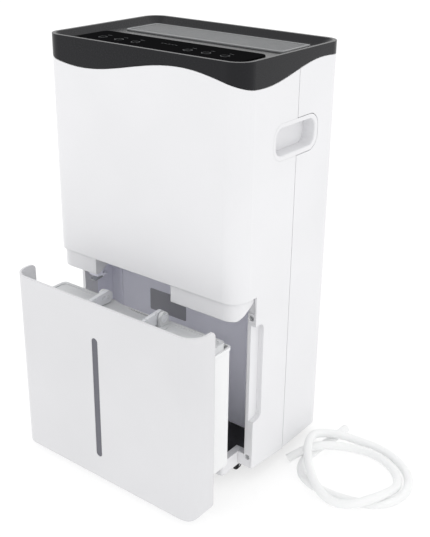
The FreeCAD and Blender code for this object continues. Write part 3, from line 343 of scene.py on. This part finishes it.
# ---- fine pieces -------------------------------------------------------------------------
def mesh_piece(name, build, material, body, bevel=0.0):
    """A new piece from a bmesh builder."""
    shape = bmesh.new()
    build(shape)
    data = bpy.data.meshes.new(name)
    shape.to_mesh(data)
    shape.free()
    piece = bpy.data.objects.new(name, data)
    bpy.context.scene.collection.objects.link(piece)
    data.materials.append(material)
    if bevel:
        soft = piece.modifiers.new("soft", "BEVEL")
        soft.width = bevel
        soft.segments = 3
    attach(piece, body)
    return piece


def join_pair(shape, low, high):
    """Skin two closed rows of points that have as many points each."""
    count = len(low)
    for i in range(count):
        j = (i + 1) % count
        shape.faces.new((low[i], low[j], high[j], high[i]))


def join_rows(shape, rows):
    """Skin closed rows of points in order and close both ends."""
    for low, high in zip(rows, rows[1:]):
        join_pair(shape, low, high)
    shape.faces.new(rows[0][::-1])
    shape.faces.new(rows[-1])


def add_ring(shape, x, y, z, outer, inner, height, sides=32):
    """A flat ring lying on a surface."""
    rows = []
    for radius, level in ((inner, z), (outer, z), (outer, z + height), (inner, z + height)):
        row = []
        for i in range(sides):
            angle = 2 * math.pi * i / sides
            row.append(shape.verts.new((x + radius * math.cos(angle), y + radius * math.sin(angle), level)))
        rows.append(row)
    for low, high in zip(rows, rows[1:] + rows[:1]):
        join_pair(shape, low, high)


def add_block(shape, x0, y0, z0, x1, y1, z1):
    """A block between two corners."""
    made = bmesh.ops.create_cube(shape, size=1.0)
    size = Vector((x1 - x0, y1 - y0, z1 - z0))
    middle = Vector((x0 + x1, y0 + y1, z0 + z1)) / 2
    for vertex in made["verts"]:
        vertex.co = Vector(a * b for a, b in zip(vertex.co, size)) + middle


def add_mark_bar(shape, x, y, z, half_x):
    """A short printed bar on the touch panel."""
    add_block(shape, x - half_x, y, z, x + half_x, y + MARK_WIDTH, z + MARK_HEIGHT)


def touch_marks(shape):
    """Touch rings with a bar behind each, and five level bars in the middle."""
    z = PANEL_HI[2]
    ring_y = (PANEL_LO[1] + PANEL_HI[1]) / 2 - TOUCH_FORWARD
    for x in [-x for x in reversed(TOUCH_X)] + list(TOUCH_X):
        add_ring(shape, x, ring_y, z, RING_OUTER, RING_INNER, MARK_HEIGHT)
        add_mark_bar(shape, x, ring_y + 0.014, z, 0.0035)
    for i in range(LEVEL_BARS):
        x = LEVEL_PITCH * (i - (LEVEL_BARS - 1) / 2)
        add_mark_bar(shape, x, ring_y + 0.016, z, 0.0018)


def grille_insert(shape):
    """Fine cross bars under the slats of the outlet."""
    low_x, high_x = GRILLE_LO[0] + 0.008, GRILLE_HI[0] - 0.008
    low_y, high_y = GRILLE_LO[1] + 0.006, GRILLE_HI[1] - 0.006
    z = GRILLE_LO[2] + 0.0004
    for i in range(CROSS_BARS):
        x = low_x + (high_x - low_x) * i / (CROSS_BARS - 1)
        add_block(shape, x - 0.0003, low_y, z, x + 0.0003, high_y, z + 0.001)


def lathe(shape, profile, sides=28):
    """A turned shape about X from (distance along x, radius) pairs, closed at both ends."""
    rows = []
    for x, radius in profile:
        row = []
        for i in range(sides):
            angle = 2 * math.pi * i / sides
            row.append(shape.verts.new((x, radius * math.cos(angle), radius * math.sin(angle))))
        rows.append(row)
    join_rows(shape, rows)
    return [vertex for row in rows for vertex in row]


def pivot_caps(shape):
    """Stepped caps over the handle pins, outside the two lugs."""
    y = HANDLE_HI[1] - EYE_R
    z = HANDLE_HI[2] - EYE_R
    lug_x = HANDLE_HI[0] + LUG_OUT
    profile = [(-0.0004, 0.0062), (0.0006, 0.0062), (0.0010, 0.0058), (0.0010, 0.0048),
               (0.0002, 0.0044), (0.0002, 0.0032), (0.0012, 0.0028), (0.0014, 0.0010)]
    for side in (-1, 1):
        made = lathe(shape, [(side * (lug_x + x), radius) for x, radius in profile])
        bmesh.ops.translate(shape, verts=made, vec=(0.0, y, z))


def cross_screw(shape, x, y, z, radius):
    """Domed screw head with a cross recess, facing the rear."""
    profile = [(-0.0006, radius), (0.0002, radius), (0.0008, radius * 0.86), (0.0011, radius * 0.55)]
    made = lathe(shape, profile)
    bmesh.ops.rotate(shape, verts=made, cent=(0, 0, 0), matrix=Matrix.Rotation(math.radians(90), 3, "Z"))
    bmesh.ops.translate(shape, verts=made, vec=(x, y, z))
    arm = radius * 0.5
    for half_x, half_z in ((arm, radius * 0.12), (radius * 0.12, arm)):
        add_block(shape, x - half_x, y + 0.0009, z - half_z, x + half_x, y + 0.0013, z + half_z)


def rear_screws(shape):
    """Screws that hold the rear housing."""
    for side in (-1, 1):
        for z in SCREW_Z:
            cross_screw(shape, side * SCREW_X, REAR_Y, z, SCREW_R)


def rear_plate(shape):
    """Blank plate with round corners and a raised rim, low on the rear housing."""
    steps = 24
    reach_x, reach_z = PLATE_HALF[0] - PLATE_CORNER, PLATE_HALF[1] - PLATE_CORNER
    rows = []
    for inset, lift in ((0.0, -0.0002), (0.0, 0.0005), (0.0012, 0.0005), (0.0016, 0.0003)):
        radius = PLATE_CORNER - inset
        row = []
        for step in range(steps):
            angle = 2 * math.pi * (step + 0.5) / steps
            corner_x = PLATE_AT[0] + math.copysign(reach_x, math.cos(angle))
            corner_z = PLATE_AT[1] + math.copysign(reach_z, math.sin(angle))
            x = corner_x + radius * math.cos(angle)
            z = corner_z + radius * math.sin(angle)
            row.append(shape.verts.new((x, REAR_Y + lift, z)))
        rows.append(row)
    join_rows(shape, rows)


def filter_grip(shape):
    """Finger ribs on the top edge of the filter frame."""
    y = FILTER_HI[1]
    z = FILTER_HI[2] - 0.0055
    for i in range(7):
        x = -0.012 + 0.004 * i
        add_block(shape, x - 0.0008, y - 0.0003, z - 0.003, x + 0.0008, y + 0.0007, z + 0.003)


def rim_line(shape):
    """Round bead along the rear edge of the tank lid."""
    low_x, high_x = LID_LO[0] + 0.006, LID_HI[0] - 0.006
    tip_r, tip = 0.0002, 0.0006
    profile = [(low_x, tip_r), (low_x + tip, BEAD_R), (high_x - tip, BEAD_R), (high_x, tip_r)]
    made = lathe(shape, profile, 14)
    bmesh.ops.translate(shape, verts=made, vec=(0.0, LID_HI[1] - 0.0002, LID_LO[2] + 0.003))


def add_details(looks):
    """Small pieces on the CAD nodes."""
    mesh_piece("touch_marks", touch_marks, looks["mark"], "cabinet")
    mesh_piece("grille_cross_bars", grille_insert, looks["grille"], "cabinet")
    mesh_piece("handle_pivot_caps", pivot_caps, looks["handle"], "lid", 0.0002)
    mesh_piece("rear_screws", rear_screws, looks["steel"], "cabinet")
    mesh_piece("rear_plate", rear_plate, looks["plate"], "cabinet")
    mesh_piece("filter_grip", filter_grip, looks["white"], "filter", 0.0003)
    mesh_piece("lid_bead", rim_line, looks["lid"], "lid")


# ---- floor and light ---------------------------------------------------------------------
def add_floor():
    """Plain white floor; most of its brightness is its own, which keeps shadows faint."""
    shape = bmesh.new()
    bmesh.ops.create_grid(shape, x_segments=1, y_segments=1, size=6.0)
    data = bpy.data.meshes.new("floor")
    shape.to_mesh(data)
    shape.free()
    floor = bpy.data.objects.new("floor", data)
    floor.location = (0.0, 0.0, -0.0005)
    bpy.context.scene.collection.objects.link(floor)
    material, tree, shader = new_material("floor_paper", (0.34, 0.34, 0.34), 0.8)
    shader.inputs["Emission Color"].default_value = (1.0, 1.0, 1.0, 1.0)
    shader.inputs["Emission Strength"].default_value = 0.68
    vary(tree, shader, "Roughness", noise(tree, 30.0), 0.75, 0.9)
    data.materials.append(material)


def add_light(name, place, aim, size, power):
    """A square soft box aimed at a point."""
    data = bpy.data.lights.new(name, "AREA")
    data.size = size
    data.energy = power
    light = bpy.data.objects.new(name, data)
    light.location = place
    light.rotation_euler = (Vector(aim) - Vector(place)).to_track_quat("-Z", "Y").to_euler()
    bpy.context.scene.collection.objects.link(light)


def add_studio():
    """White surround, a large key at the front left and two fills."""
    world = bpy.data.worlds.new("studio")
    world.use_nodes = True
    world.node_tree.nodes["Background"].inputs["Color"].default_value = (1.0, 1.0, 1.0, 1.0)
    world.node_tree.nodes["Background"].inputs["Strength"].default_value = 1.05
    bpy.context.scene.world = world
    bpy.context.scene.view_settings.view_transform = "Standard"
    add_light("key", (-1.2, -2.2, 2.2), (0.0, 0.0, 0.3), 1.8, 5.0)
    add_light("fill", (2.4, -0.4, 1.3), (0.0, 0.0, 0.3), 1.6, 4.0)
    add_light("top", (0.2, 0.5, 2.6), (0.0, 0.0, 0.3), 1.6, 4.0)


looks = make_materials()
add_camera()
add_hose(looks["hose"])
dress_nodes(looks)
add_details(looks)
add_floor()
add_studio()
